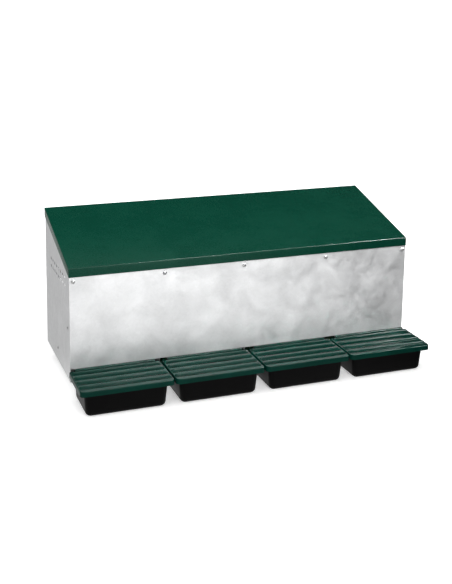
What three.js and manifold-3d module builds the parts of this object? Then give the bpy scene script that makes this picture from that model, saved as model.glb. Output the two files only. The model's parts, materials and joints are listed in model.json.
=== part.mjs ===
// Roll-away nest box for hens, four nests wide.
// Millimetres, +Z up. Hens go in on the +Y side, eggs are collected on the -Y side.
// Geometry is written in nest coordinates: X from the left side of the body, Y from the outer
// face of the front panel, Z from the ground. The last group moves it to the middle of its box.

import * as THREE from 'three';
import { mergeVertices } from 'three/addons/utils/BufferGeometryUtils.js';
import Module from 'manifold-3d';

const wasm = await Module();
wasm.setup();

// ---------------------------------------------------------------- driving dimensions

const GAP = 0.3; // clearance kept between touching pieces
const SHEET = 1; // galvanised and painted sheet
const NESTS = 4;
const OVERCUT = 1; // how far a cutting tool runs past a face, or a joined solid runs into another
const BOLT_SIDES = 12; // facets of pins, shanks and their holes
const ROUND_SIDES = 24; // facets of larger round parts
const ARC_STEPS = 8; // facets in a quarter or half round edge

// body
const BODY_WIDTH = 1000;
const BODY_DEPTH = 320;
const NEST_PITCH = BODY_WIDTH / NESTS;
const FLANGE = 20; // folded edges of the sides and dividers
const FOOT_FLANGE = 15; // folded lower edges and feet
const SIDE_BOTTOM = 46; // the sides end this far above the ground
const FOOT_INSET = 50; // the front sill and the hens' side stand on the ground this far in
const FLANGE_PLAY = 1; // between a folded edge and whatever runs past it
const TOP_PLAY = 3; // sheets that stand under the sloping roof stop this far below it
const PANEL_BOTTOM = 83.5; // lower edge of the front panel, above the egg slot
const PANEL_HEM = 8;
const SILL_TOP = 55; // lower edge of the egg slot, between the chutes

// roof
const ROOF_FRONT_Z = 360;
const ROOF_REAR_Z = 447.5;
const ROOF_REAR_Y = BODY_DEPTH + 4;
const ROOF_LIP = 24; // turned-down edge
const ROOF_PLAY = 0.5; // roof lip to body

// sloping nest floor
const FLOOR_FRONT_Z = 24;
const FLOOR_SLOPE = 0.115;
const FLOOR_CURB = 45; // turned-up edge against each side
const FLOOR_LEDGE = 25; // step up to the strip that lies over each side's folded lower edge
const LEDGE_WIDTH = 25;
const CHUTE_WIDTH = 186;
const CHUTE_SHIFT = 3.5; // chutes sit this far right of their nests, towards the trays
const CHUTE_REACH = 9;
const CHUTE_PLAY = 3; // between a chute and the sill's notch
const CURB_SETBACK = 10; // curbs start this far behind the plate's front edge

// hens' entrances
const ENTRANCE_WIDTH = 190;
const ENTRANCE_BOTTOM = 122;
const ENTRANCE_TOP = 350;
const ENTRANCE_CORNER = 70;

// egg trays and their lids
const TRAY_PITCH = 255;
const TRAY_WALL = 2.2;
const TRAY_WIDTH_BOTTOM = 214;
const TRAY_TAPER = 5.5; // each side, bottom to rim
const TRAY_FRONT_BOTTOM = -124;
const TRAY_REAR = -2.5;
const TRAY_REAR_WALL = 18;
const TRAY_RIM_Z = 75.5;
const TRAY_CORNER = 15; // front corners
const TRAY_REAR_CORNER = 5;
const TRAY_EDGE = 12; // rounding under the tray
const LID_WIDTH = 250.8;
const LID_FRONT = -142;
const LID_REAR = -1.5;
const LID_TOP = 78;
const LID_SKIRT_Z = 64;
const LID_WALL = 2.2;
const LID_CORNER = 12; // front corners
const LID_REAR_CORNER = 4;
const LID_EDGE = 1.5; // chamfer round the top
const RIB_HEIGHT = 5;
const RIB_WIDTH = 11;
const RIB_INSET = 4;
const RIB_ROOT = 0.5; // how far a rib starts inside the plate
const RIB_FIRST_Y = -19;
const RIB_STEP = 32;
const RIB_COUNT = 4;
const LID_AXIS_Y = -6; // hinge bead along the lid's rear edge, just below the front panel
const BEAD_RADIUS = 4.5;
const POST_FOOT = 10; // hinge posts start this far below the rim
const BEAD_PLAY = 0.8; // bead and lid to the tray's hinge posts
const STUB_RADIUS = 2;
const FIRST_LID_X = -4.5;

// side vents
const VENT_RADIUS = 5;
const VENT_SIDES = 16;
const VENT_ROWS_Z = [298.5, 320.5];
const VENT_COUNT = 8;
const VENT_FIRST_Y = 59;
const VENT_STEP = 26;

// fasteners
const SCREW_HEAD_RADIUS = 5.5;
const SCREW_HEAD_HEIGHT = 2.8;
const SCREW_RADIUS = 2.2;
const SCREW_HOLE_RADIUS = 2.6;
const SCREW_LENGTH = 9;
const FRONT_SCREW_Z = 324;
const REAR_SCREW_Z = 392;
const RIVET_HEAD_RADIUS = 4;
const RIVET_HEAD_HEIGHT = 1.5;
const RIVET_LENGTH = 3;
const RIVET_RADIUS = 2;
const RIVET_HOLE_RADIUS = 2.4;
const FLOOR_RIVET = { y: 161, z: 84 };
const TAB_RIVET = { y: 26, z: 190 };
const TAB_LENGTH = 40;
const TAB_HEIGHT = 30;

// roof hinges
const HINGE_X = [150, 850];
const HINGE_WIDTH = 60;
const HINGE_KNUCKLE = 20;
const HINGE_LEAF = 1.5;
const HINGE_LEAF_LENGTH = 30;
const HINGE_BARREL_RADIUS = 4;
const HINGE_PIN_RADIUS = 1.8;
const HINGE_HEAD_RADIUS = 3.2;
const HINGE_HEAD_LENGTH = 1.5;
const KNUCKLE_PLAY = 0.5;

// folding perch
const PERCH_X = [30, 500, 970];
const PERCH_PIVOT_Y = BODY_DEPTH + 17;
const PERCH_PIVOT_Z = 98;
const PERCH_REACH = 150;
const PERCH_RADIUS = 11;
const PERCH_LENGTH = 970;
const PERCH_EYE_RADIUS = 15;
const ARM_THICK = 4;
const ARM_WIDTH = 20;
const BRACKET_THICK = 2;
const BRACKET_WIDTH = 24;
const BRACKET_HEIGHT = 36;
const PIVOT_BOLT_RADIUS = 3;
const PIVOT_HOLE_RADIUS = 3.4;
const PIVOT_HEAD_RADIUS = 6;
const PIVOT_HEAD_HEIGHT = 4;

// mats
const MAT_THICK = 10;
const MAT_PLAY = 6; // from a mat's edge to the middle of the divider
const MAT_FRONT_GAP = 8; // behind the front panel's hem
const MAT_CHAMFER = 4;

// ---------------------------------------------------------------- places worked out from them

const ROOF_FRONT_Y = -ROOF_PLAY - SHEET;
const ROOF_SLOPE = (ROOF_REAR_Z - ROOF_FRONT_Z) / (ROOF_REAR_Y - ROOF_FRONT_Y);
const ROOF_ANGLE = Math.atan(ROOF_SLOPE);
const ROOF_SHEET_Z = SHEET / Math.cos(ROOF_ANGLE); // sheet thickness measured straight down
const INNER_BACK = BODY_DEPTH - SHEET - GAP; // in front of the entrance panel
const INNER_FRONT = SHEET + GAP; // behind the front panel
const FLANGE_SCREW_INSET = FLANGE / 2;
const FLANGE_BOTTOM = PANEL_BOTTOM + SHEET + FLANGE_PLAY; // front flanges start above the hem
const LID_AXIS_Z = TRAY_RIM_Z + GAP + BEAD_RADIUS;
const POST_HALF = TRAY_WIDTH_BOTTOM / 2 + TRAY_TAPER; // from a tray's middle to its posts' outer faces
const BEAD_HALF = POST_HALF - TRAY_WALL - BEAD_PLAY;
const TAB_Z = [TAB_RIVET.z - TAB_HEIGHT / 2, TAB_RIVET.z + TAB_HEIGHT / 2];

const roofTop = (y) => ROOF_FRONT_Z + ROOF_SLOPE * (y - ROOF_FRONT_Y);
const roofUnder = (y) => roofTop(y) - ROOF_SHEET_Z;
const floorTop = (y) => FLOOR_FRONT_Z + FLOOR_SLOPE * y;
const nestMiddle = (nest) => NEST_PITCH * (nest + 0.5);
const chuteMiddle = (nest) => nestMiddle(nest) + CHUTE_SHIFT;
const trayMiddle = (nest) => FIRST_LID_X + LID_WIDTH / 2 + TRAY_PITCH * nest;

// dividers: the first has its flanges turned right, the other two turned left
const DIVIDERS = [1, 2, 3].map((i) => ({ x: NEST_PITCH * i, turn: i === 1 ? 1 : -1 }));
const FLANGE_SCREW_X = [
  FLANGE_SCREW_INSET,
  ...DIVIDERS.map(({ x, turn }) => x + turn * FLANGE_SCREW_INSET),
  BODY_WIDTH - FLANGE_SCREW_INSET,
];

// roof hinge axis: leaf under the roof and leaf on the entrance panel both run into the barrel
const HINGE_AXIS_Y = BODY_DEPTH + GAP + HINGE_BARREL_RADIUS;
const HINGE_AXIS_Z = roofUnder(HINGE_AXIS_Y) - (GAP + HINGE_BARREL_RADIUS) / Math.cos(ROOF_ANGLE);

// ---------------------------------------------------------------- materials

const finish = (color, roughness, metalness) =>
  new THREE.MeshStandardMaterial({ color, roughness, metalness });
const galvanised = () => finish(0xc9cccc, 0.42, 0.85);
const greenPaint = () => finish(0x0b4936, 0.45, 0.1);
const greenPlastic = () => finish(0x1f4a3f, 0.4, 0);
const blackPlastic = () => finish(0x131313, 0.5, 0);
const matPlastic = () => finish(0x2c5a32, 0.8, 0);
const zincSteel = () => finish(0x9a9da0, 0.35, 0.9);
const beech = () => finish(0xc49a64, 0.65, 0);

// ---------------------------------------------------------------- solids

function toSolid(geometry) {
  const bare = geometry.index ? geometry.toNonIndexed() : geometry.clone();
  bare.deleteAttribute('normal');
  bare.deleteAttribute('uv');
  const merged = mergeVertices(bare, 1e-4);
  const vertProperties = new Float32Array(merged.attributes.position.array);
  const triVerts = new Uint32Array(merged.index.array);
  return new wasm.Manifold(new wasm.Mesh({ numProp: 3, vertProperties, triVerts }));
}

function toGeometry(solid) {
  const mesh = solid.getMesh();
  const geometry = new THREE.BufferGeometry();
  geometry.setAttribute('position', new THREE.BufferAttribute(mesh.vertProperties, 3));
  geometry.setIndex(new THREE.BufferAttribute(mesh.triVerts, 1));
  return geometry;
}

const join = (...solids) => solids.reduce((sum, solid) => sum.add(solid));
const cut = (solid, ...tools) => tools.reduce((rest, tool) => rest.subtract(tool), solid);

function block([x0, x1], [y0, y1], [z0, z1]) {
  const box = new THREE.BoxGeometry(x1 - x0, y1 - y0, z1 - z0);
  return toSolid(box.translate((x0 + x1) / 2, (y0 + y1) / 2, (z0 + z1) / 2));
}

const X_AXIS = new THREE.Vector3(1, 0, 0);
const Y_AXIS = new THREE.Vector3(0, 1, 0);
const Z_AXIS = new THREE.Vector3(0, 0, 1);

function extruded(shape, depth, curveSegments = ARC_STEPS) {
  return new THREE.ExtrudeGeometry(shape, { depth, bevelEnabled: false, curveSegments });
}

// an outline of [y, z] points, or a Shape, pulled along X
function alongX(outline, [x0, x1], curveSegments) {
  const isShape = outline instanceof THREE.Shape;
  const shape = isShape ? outline : new THREE.Shape(outline.map((p) => new THREE.Vector2(...p)));
  const geometry = extruded(shape, x1 - x0, curveSegments);
  geometry.applyMatrix4(new THREE.Matrix4().makeBasis(Y_AXIS, Z_AXIS, X_AXIS));
  return toSolid(geometry.translate(x0, 0, 0));
}

// an outline in X and Z pulled along Y
function alongY(shape, [y0, y1], curveSegments) {
  const geometry = extruded(shape, y1 - y0, curveSegments);
  geometry.applyMatrix4(new THREE.Matrix4().makeBasis(X_AXIS, Z_AXIS, Y_AXIS.clone().negate()));
  return toSolid(geometry.translate(0, y1, 0));
}

// a round bar from start to end along one axis
function bar(axis, radius, [start, end], [a, b], sides = BOLT_SIDES) {
  const geometry = new THREE.CylinderGeometry(radius, radius, end - start, sides);
  const middle = (start + end) / 2;
  if (axis === 'x') {
    geometry.rotateZ(Math.PI / 2).translate(middle, a, b);
  } else {
    geometry.translate(a, middle, b);
  }
  return toSolid(geometry);
}

// a turned fastener: a low domed head on the +Y side of the origin, a plain shank on the -Y side
function fastener({ headRadius, headHeight, shankRadius, length, sides = 12 }) {
  const dome = 5;
  const points = [new THREE.Vector2(0, -length)];
  points.push(new THREE.Vector2(shankRadius, -length));
  points.push(new THREE.Vector2(shankRadius, 0));
  points.push(new THREE.Vector2(headRadius, 0));
  for (let i = 1; i <= dome; i += 1) {
    const angle = (i / dome) * (Math.PI / 2);
    const radius = i === dome ? 0 : headRadius * Math.cos(angle) ** 0.6;
    points.push(new THREE.Vector2(radius, headHeight * Math.sin(angle)));
  }
  return new THREE.LatheGeometry(points, sides);
}

// rings of points joined into one closed body, with flat ends
function loft(rings) {
  const count = rings[0].length;
  const positions = rings.flat(2);
  const index = [];
  for (let r = 0; r + 1 < rings.length; r += 1) {
    for (let i = 0; i < count; i += 1) {
      const a = r * count + i;
      const b = r * count + ((i + 1) % count);
      index.push(a, b, b + count, a, b + count, a + count);
    }
  }
  const top = (rings.length - 1) * count;
  for (let i = 1; i + 1 < count; i += 1) {
    index.push(0, i + 1, i, top, top + i, top + i + 1);
  }
  const geometry = new THREE.BufferGeometry();
  geometry.setAttribute('position', new THREE.Float32BufferAttribute(positions, 3));
  geometry.setIndex(index);
  return toSolid(geometry);
}

// one ring: a rectangle at height z with its own radius for the front and the rear corners
function roundedRing({ x0, x1, y0, y1 }, { front, rear }, z, segments = 4) {
  const corners = [
    [x1 - front, y0 + front, front, -90],
    [x1 - rear, y1 - rear, rear, 0],
    [x0 + rear, y1 - rear, rear, 90],
    [x0 + front, y0 + front, front, 180],
  ];
  const ring = [];
  for (const [cx, cy, radius, start] of corners) {
    for (let i = 0; i <= segments; i += 1) {
      const angle = THREE.MathUtils.degToRad(start + (90 * i) / segments);
      ring.push([cx + radius * Math.cos(angle), cy + radius * Math.sin(angle), z]);
    }
  }
  return ring;
}

// ---------------------------------------------------------------- the parts list

const nest = new THREE.Group();

function place(name, solid, material) {
  const mesh = new THREE.Mesh(solid.isBufferGeometry ? solid : toGeometry(solid), material);
  mesh.name = name;
  nest.add(mesh);
  return mesh;
}

// ---------------------------------------------------------------- body

const sorted = (a, b) => [Math.min(a, b), Math.max(a, b)];

// a hole for a screw or rivet, bored along one axis round a point of the sheet at depth `face`
const hole = (axis, radius, face, at) =>
  bar(axis, radius, [face - 2 * SHEET - OVERCUT, face + 2 * SHEET + OVERCUT], at);

// a point on the roof's underside, less the clearance
const underRoof = (y, drop = GAP) => [y, roofUnder(y) - drop];

// a folded side: web, front and rear flanges, lower edge, vents and rivet holes
function sidePanel() {
  const web = alongX(
    [
      [INNER_FRONT, SIDE_BOTTOM],
      [INNER_BACK, SIDE_BOTTOM],
      underRoof(INNER_BACK, TOP_PLAY),
      underRoof(INNER_FRONT),
    ],
    [0, SHEET],
  );
  const frontFlange = alongX(
    [
      [INNER_FRONT, FLANGE_BOTTOM],
      [INNER_FRONT + SHEET, FLANGE_BOTTOM],
      underRoof(INNER_FRONT + SHEET, FLANGE_PLAY),
      underRoof(INNER_FRONT, FLANGE_PLAY),
    ],
    [0, FLANGE],
  );
  const rearTop = roofUnder(INNER_BACK) - TOP_PLAY - 2 * FLANGE_PLAY;
  const rearFlange = block([0, FLANGE], [INNER_BACK - SHEET, INNER_BACK], [SIDE_BOTTOM, rearTop]);
  const lowerZ = [SIDE_BOTTOM, SIDE_BOTTOM + SHEET];
  const lowerEdge = block([0, FOOT_FLANGE], [INNER_FRONT, INNER_BACK], lowerZ);
  const tabNotch = block(
    [SHEET, FLANGE + OVERCUT],
    [0, INNER_FRONT + SHEET + OVERCUT],
    [TAB_Z[0] - FLANGE_PLAY, TAB_Z[1] + FLANGE_PLAY],
  );
  const vents = [];
  for (const z of VENT_ROWS_Z) {
    for (let i = 0; i < VENT_COUNT; i += 1) {
      const y = VENT_FIRST_Y + VENT_STEP * i;
      vents.push(bar('x', VENT_RADIUS, [-OVERCUT, SHEET + OVERCUT], [y, z], VENT_SIDES));
    }
  }
  const rivetHoles = [TAB_RIVET, FLOOR_RIVET].map(({ y, z }) =>
    hole('x', RIVET_HOLE_RADIUS, SHEET, [y, z]),
  );
  const frontHole = hole('y', SCREW_HOLE_RADIUS, INNER_FRONT, [FLANGE_SCREW_INSET, FRONT_SCREW_Z]);
  const rearHole = hole('y', SCREW_HOLE_RADIUS, INNER_BACK, [FLANGE_SCREW_INSET, REAR_SCREW_Z]);
  const folded = join(web, frontFlange, rearFlange, lowerEdge);
  return cut(folded, tabNotch, ...vents, ...rivetHoles, frontHole, rearHole);
}

const mirrored = (solid) => solid.mirror([1, 0, 0]).translate([BODY_WIDTH, 0, 0]);

// flat front panel with a hem along the egg slot and a riveted tab bent back at each side
function frontPanel() {
  const top = roofUnder(0) - 2 * GAP;
  const face = block([0, BODY_WIDTH], [0, SHEET], [PANEL_BOTTOM, top]);
  const hemEnd = SHEET + GAP;
  const hem = block(
    [hemEnd, BODY_WIDTH - hemEnd],
    [0, PANEL_HEM],
    [PANEL_BOTTOM, PANEL_BOTTOM + SHEET],
  );
  const tab = block([hemEnd, hemEnd + SHEET], [0, TAB_LENGTH], TAB_Z);
  const drilledTab = cut(tab, hole('x', RIVET_HOLE_RADIUS, hemEnd, [TAB_RIVET.y, TAB_RIVET.z]));
  const screwHoles = FLANGE_SCREW_X.map((x) => hole('y', SCREW_HOLE_RADIUS, 0, [x, FRONT_SCREW_Z]));
  return cut(join(face, hem, drilledTab, mirrored(drilledTab)), ...screwHoles);
}

// low front sill on the ground: posts between the four chutes, tabs under the floor and a foot
function frontSill() {
  const span = [FOOT_INSET, BODY_WIDTH - FOOT_INSET];
  const face = block(span, [0, SHEET], [0, SILL_TOP]);
  const foot = block(span, [0, FOOT_FLANGE], [0, SHEET]);
  const half = CHUTE_WIDTH / 2 + CHUTE_PLAY;
  const notchZ = [TRAY_REAR_WALL + FLANGE_PLAY, SILL_TOP + OVERCUT];
  const tabTop = floorTop(0) - SHEET - GAP;
  const chutes = [];
  const tabs = [];
  for (let n = 0; n < NESTS; n += 1) {
    const x = chuteMiddle(n);
    chutes.push(block([x - half, x + half], [-OVERCUT, SHEET + OVERCUT], notchZ));
    if (n > 0) {
      const post = x - NEST_PITCH / 2;
      tabs.push(block([post - FLANGE, post + FLANGE], [0, FOOT_FLANGE], [tabTop - SHEET, tabTop]));
    }
  }
  return cut(join(face, foot, ...tabs), ...chutes);
}

// one sloping floor for all the nests, with a chute out of each; along both sides it steps up
// over the side's lower edge and ends in a curb
function nestFloor() {
  const start = INNER_FRONT + SHEET + 2 * GAP;
  const end = INNER_BACK - SHEET - GAP;
  const edge = SHEET + GAP;
  const sloping = (y0, y1, low, high) => [
    [y0, floorTop(y0) + low],
    [y1, floorTop(y1) + low],
    [y1, floorTop(y1) + high],
    [y0, floorTop(y0) + high],
  ];
  const plate = alongX(
    sloping(-CHUTE_REACH, end, -SHEET, 0),
    [LEDGE_WIDTH, BODY_WIDTH - LEDGE_WIDTH],
  );
  const step = alongX(
    sloping(start, end, -SHEET, FLOOR_LEDGE),
    [LEDGE_WIDTH, LEDGE_WIDTH + SHEET],
  );
  const ledge = alongX(
    sloping(start, end, FLOOR_LEDGE - SHEET, FLOOR_LEDGE),
    [edge, LEDGE_WIDTH + SHEET],
  );
  const curb = alongX(
    sloping(start + CURB_SETBACK, end, FLOOR_LEDGE - SHEET / 2, FLOOR_CURB),
    [edge, edge + SHEET],
  );
  const rivetHole = hole('x', RIVET_HOLE_RADIUS, edge, [FLOOR_RIVET.y, FLOOR_RIVET.z]);
  const side = cut(join(step, ledge, curb), rivetHole);
  const edges = [0];
  for (let n = 0; n < NESTS; n += 1) {
    edges.push(chuteMiddle(n) - CHUTE_WIDTH / 2, chuteMiddle(n) + CHUTE_WIDTH / 2);
  }
  edges.push(BODY_WIDTH);
  const notches = [];
  for (let i = 0; i < edges.length; i += 2) {
    notches.push(block([edges[i], edges[i + 1]], [-CHUTE_REACH - OVERCUT, start], [0, SILL_TOP]));
  }
  return join(cut(plate, ...notches), side, mirrored(side));
}

// a divider between two nests, with its flanges turned to one side
function divider({ x, turn }) {
  const rear = INNER_BACK - GAP;
  const lowFront = PANEL_HEM + 3 * FLANGE_PLAY;
  const web = alongX(
    [
      [lowFront, floorTop(lowFront) + GAP],
      [rear - SHEET - GAP, floorTop(rear) + GAP],
      [rear, floorTop(rear) + GAP + FLANGE_PLAY],
      underRoof(rear, TOP_PLAY),
      underRoof(INNER_FRONT, TOP_PLAY),
      [INNER_FRONT, FLANGE_BOTTOM],
      [lowFront, FLANGE_BOTTOM],
    ],
    [x - SHEET / 2, x + SHEET / 2],
  );
  const span = turn > 0 ? [x - SHEET / 2, x + FLANGE] : [x - FLANGE, x + SHEET / 2];
  const frontTop = roofUnder(0) - TOP_PLAY - FLANGE_PLAY;
  const front = block(span, [INNER_FRONT, INNER_FRONT + SHEET], [FLANGE_BOTTOM, frontTop]);
  const rearBottom = floorTop(rear) + MAT_THICK + 2 * FLANGE_PLAY;
  const rearTop = roofUnder(rear) - 2 * TOP_PLAY;
  const back = block(span, [rear - SHEET, rear], [rearBottom, rearTop]);
  const screwX = x + turn * FLANGE_SCREW_INSET;
  const frontHole = hole('y', SCREW_HOLE_RADIUS, INNER_FRONT, [screwX, FRONT_SCREW_Z]);
  const rearHole = hole('y', SCREW_HOLE_RADIUS, rear, [screwX, REAR_SCREW_Z]);
  return cut(join(web, front, back), frontHole, rearHole);
}

// the hens' side: a sheet with an arched way into each nest, standing on a folded foot
function entrancePanel() {
  const top = HINGE_AXIS_Z - FLANGE_PLAY;
  const face = block([0, BODY_WIDTH], [BODY_DEPTH - SHEET, BODY_DEPTH], [SIDE_BOTTOM, top]);
  const footSpan = [FOOT_INSET, BODY_WIDTH - FOOT_INSET];
  const lower = block(footSpan, [BODY_DEPTH - SHEET, BODY_DEPTH], [0, SIDE_BOTTOM + OVERCUT]);
  const foot = block(footSpan, [BODY_DEPTH - FOOT_FLANGE, BODY_DEPTH], [0, SHEET]);
  const half = ENTRANCE_WIDTH / 2;
  const inset = half - ENTRANCE_CORNER;
  const springing = ENTRANCE_TOP - ENTRANCE_CORNER;
  const ways = [];
  for (let n = 0; n < NESTS; n += 1) {
    const x = nestMiddle(n);
    const way = new THREE.Shape();
    way.moveTo(x - half, ENTRANCE_BOTTOM);
    way.lineTo(x + half, ENTRANCE_BOTTOM);
    way.lineTo(x + half, springing);
    way.absarc(x + inset, springing, ENTRANCE_CORNER, 0, Math.PI / 2);
    way.lineTo(x - inset, ENTRANCE_TOP);
    way.absarc(x - inset, springing, ENTRANCE_CORNER, Math.PI / 2, Math.PI);
    ways.push(alongY(way, [BODY_DEPTH - SHEET - OVERCUT, BODY_DEPTH + OVERCUT]));
  }
  const screwHoles = FLANGE_SCREW_X.map((x) =>
    hole('y', SCREW_HOLE_RADIUS, BODY_DEPTH, [x, REAR_SCREW_Z]),
  );
  return cut(join(face, lower, foot), ...ways, ...screwHoles);
}

// ---------------------------------------------------------------- roof and its hinges

function roofPanel() {
  const left = -ROOF_PLAY - SHEET;
  const right = BODY_WIDTH + ROOF_PLAY + SHEET;
  const sloping = (y0, y1, depth) => [
    [y0, roofTop(y0) - depth],
    [y1, roofTop(y1) - depth],
    [y1, roofTop(y1)],
    [y0, roofTop(y0)],
  ];
  const top = alongX(sloping(ROOF_FRONT_Y, ROOF_REAR_Y, ROOF_SHEET_Z), [left, right]);
  const front = block(
    [left, right],
    [ROOF_FRONT_Y, ROOF_FRONT_Y + SHEET],
    [ROOF_FRONT_Z - ROOF_LIP, ROOF_FRONT_Z - ROOF_SHEET_Z / 2],
  );
  const side = alongX(sloping(ROOF_FRONT_Y, ROOF_REAR_Y, ROOF_LIP), [left, left + SHEET]);
  return join(top, front, side, mirrored(side));
}

const HINGE_AXIS = [HINGE_AXIS_Y, HINGE_AXIS_Z];
const hingeBore = (x) => {
  const reach = HINGE_WIDTH / 2 + OVERCUT;
  return bar('x', HINGE_PIN_RADIUS + GAP, [x - reach, x + reach], HINGE_AXIS);
};

// leaf on the body: flat on the entrance panel, with a knuckle at each end
function hingeBodyLeaf(x) {
  const span = [x - HINGE_WIDTH / 2, x + HINGE_WIDTH / 2];
  const y = [BODY_DEPTH + GAP, BODY_DEPTH + GAP + HINGE_LEAF];
  const leaf = block(span, y, [HINGE_AXIS_Z - HINGE_LEAF_LENGTH, HINGE_AXIS_Z]);
  const barrel = bar('x', HINGE_BARREL_RADIUS, span, HINGE_AXIS, ROUND_SIDES);
  const reach = HINGE_BARREL_RADIUS + OVERCUT;
  const half = HINGE_KNUCKLE / 2 + KNUCKLE_PLAY;
  const room = block(
    [x - half, x + half],
    [BODY_DEPTH, HINGE_AXIS_Y + reach],
    [HINGE_AXIS_Z - reach, HINGE_AXIS_Z + reach],
  );
  return cut(join(leaf, barrel), room, hingeBore(x));
}

// leaf on the roof: under the sloping sheet, with the middle knuckle
function hingeRoofLeaf(x) {
  const under = (y, drop) => [y, roofUnder(y) - GAP - drop / Math.cos(ROOF_ANGLE)];
  const outline = (y0, y1) => [
    under(y0, HINGE_LEAF),
    under(y1, HINGE_LEAF),
    under(y1, 0),
    under(y0, 0),
  ];
  const inner = HINGE_AXIS_Y - HINGE_LEAF_LENGTH;
  const neck = HINGE_AXIS_Y - HINGE_BARREL_RADIUS - HINGE_LEAF;
  const leaf = alongX(outline(inner, neck), [x - HINGE_WIDTH / 2, x + HINGE_WIDTH / 2]);
  const knuckle = [x - HINGE_KNUCKLE / 2, x + HINGE_KNUCKLE / 2];
  const tongue = alongX(outline(neck - HINGE_LEAF, HINGE_AXIS_Y), knuckle);
  const barrel = bar('x', HINGE_BARREL_RADIUS, knuckle, HINGE_AXIS, ROUND_SIDES);
  return cut(join(leaf, tongue, barrel), hingeBore(x));
}

function hingePin(x) {
  const half = HINGE_WIDTH / 2 + GAP;
  const reach = half + HINGE_HEAD_LENGTH / 2;
  const pin = bar('x', HINGE_PIN_RADIUS, [x - reach, x + reach], HINGE_AXIS);
  const heads = [-1, 1].map((end) => {
    const ends = sorted(x + end * half, x + end * (half + HINGE_HEAD_LENGTH));
    return bar('x', HINGE_HEAD_RADIUS, ends, HINGE_AXIS);
  });
  return join(pin, ...heads);
}

// ---------------------------------------------------------------- egg trays and lids

// tray outline at height z: tapered sides, a rounded edge under the base
function trayRing(x, z, inset) {
  const rise = z / TRAY_RIM_Z;
  const half = TRAY_WIDTH_BOTTOM / 2 + TRAY_TAPER * rise - inset;
  const box = {
    x0: x - half,
    x1: x + half,
    y0: TRAY_FRONT_BOTTOM - TRAY_TAPER * rise + inset,
    y1: TRAY_REAR - inset,
  };
  const radius = (corner) => Math.max(corner - inset, TRAY_WALL);
  return roundedRing(box, { front: radius(TRAY_CORNER), rear: radius(TRAY_REAR_CORNER) }, z);
}

function tubRings(x, wall, base, top) {
  const rings = [];
  const steps = 3;
  const radius = TRAY_EDGE - wall;
  for (let i = 0; i <= steps; i += 1) {
    const angle = (i / steps) * (Math.PI / 2);
    const z = base + radius * (1 - Math.cos(angle));
    rings.push(trayRing(x, z, wall + radius * (1 - Math.sin(angle))));
  }
  rings.push(trayRing(x, top, wall));
  return rings;
}

// a post that carries the side wall up to the lid's hinge
function hingePost(x, side) {
  const foot = TRAY_RIM_Z - POST_FOOT;
  const outline = new THREE.Shape();
  outline.moveTo(LID_AXIS_Y - BEAD_RADIUS, foot);
  outline.lineTo(TRAY_REAR - GAP, foot);
  outline.lineTo(LID_AXIS_Y + BEAD_RADIUS, TRAY_RIM_Z);
  outline.lineTo(LID_AXIS_Y + BEAD_RADIUS, LID_AXIS_Z);
  outline.absarc(LID_AXIS_Y, LID_AXIS_Z, BEAD_RADIUS, 0, Math.PI);
  return alongX(outline, sorted(x + side * (POST_HALF - TRAY_WALL), x + side * POST_HALF));
}

// open tub with a low rear wall and two hinge posts
function eggTray(n) {
  const x = trayMiddle(n);
  const tub = loft(tubRings(x, 0, 0, TRAY_RIM_Z));
  const hollow = loft(tubRings(x, TRAY_WALL, TRAY_WALL, TRAY_RIM_Z + OVERCUT));
  const half = TRAY_WIDTH_BOTTOM / 2 - TRAY_REAR_CORNER - OVERCUT;
  const way = block(
    [x - half, x + half],
    [TRAY_REAR - 2 * TRAY_WALL, TRAY_REAR + OVERCUT],
    [TRAY_REAR_WALL, TRAY_RIM_Z + OVERCUT],
  );
  const reach = POST_HALF + OVERCUT;
  const pinHole = bar('x', STUB_RADIUS + GAP, [x - reach, x + reach], [LID_AXIS_Y, LID_AXIS_Z]);
  return cut(join(cut(tub, hollow, way), hingePost(x, -1), hingePost(x, 1)), pinHole);
}

// the bead runs between the tray's posts and ends in a stub pin at each side
function lidBead(x) {
  const axis = [LID_AXIS_Y, LID_AXIS_Z];
  const bead = bar('x', BEAD_RADIUS, [x - BEAD_HALF, x + BEAD_HALF], axis, ROUND_SIDES);
  const tip = POST_HALF - GAP;
  return join(bead, bar('x', STUB_RADIUS, [x - tip, x + tip], axis));
}

// raised half-round rib across the lid
function lidRib(x, index) {
  const crest = RIB_FIRST_Y - RIB_STEP * index;
  const [front, rear] = [crest - RIB_WIDTH / 2, crest + RIB_WIDTH / 2];
  const profile = new THREE.Shape();
  profile.moveTo(front, LID_TOP - RIB_ROOT);
  profile.lineTo(rear, LID_TOP - RIB_ROOT);
  profile.lineTo(rear, LID_TOP);
  profile.quadraticCurveTo(crest, LID_TOP + 2 * RIB_HEIGHT, front, LID_TOP);
  const half = LID_WIDTH / 2 - RIB_INSET;
  return alongX(profile, [x - half, x + half]);
}

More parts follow.
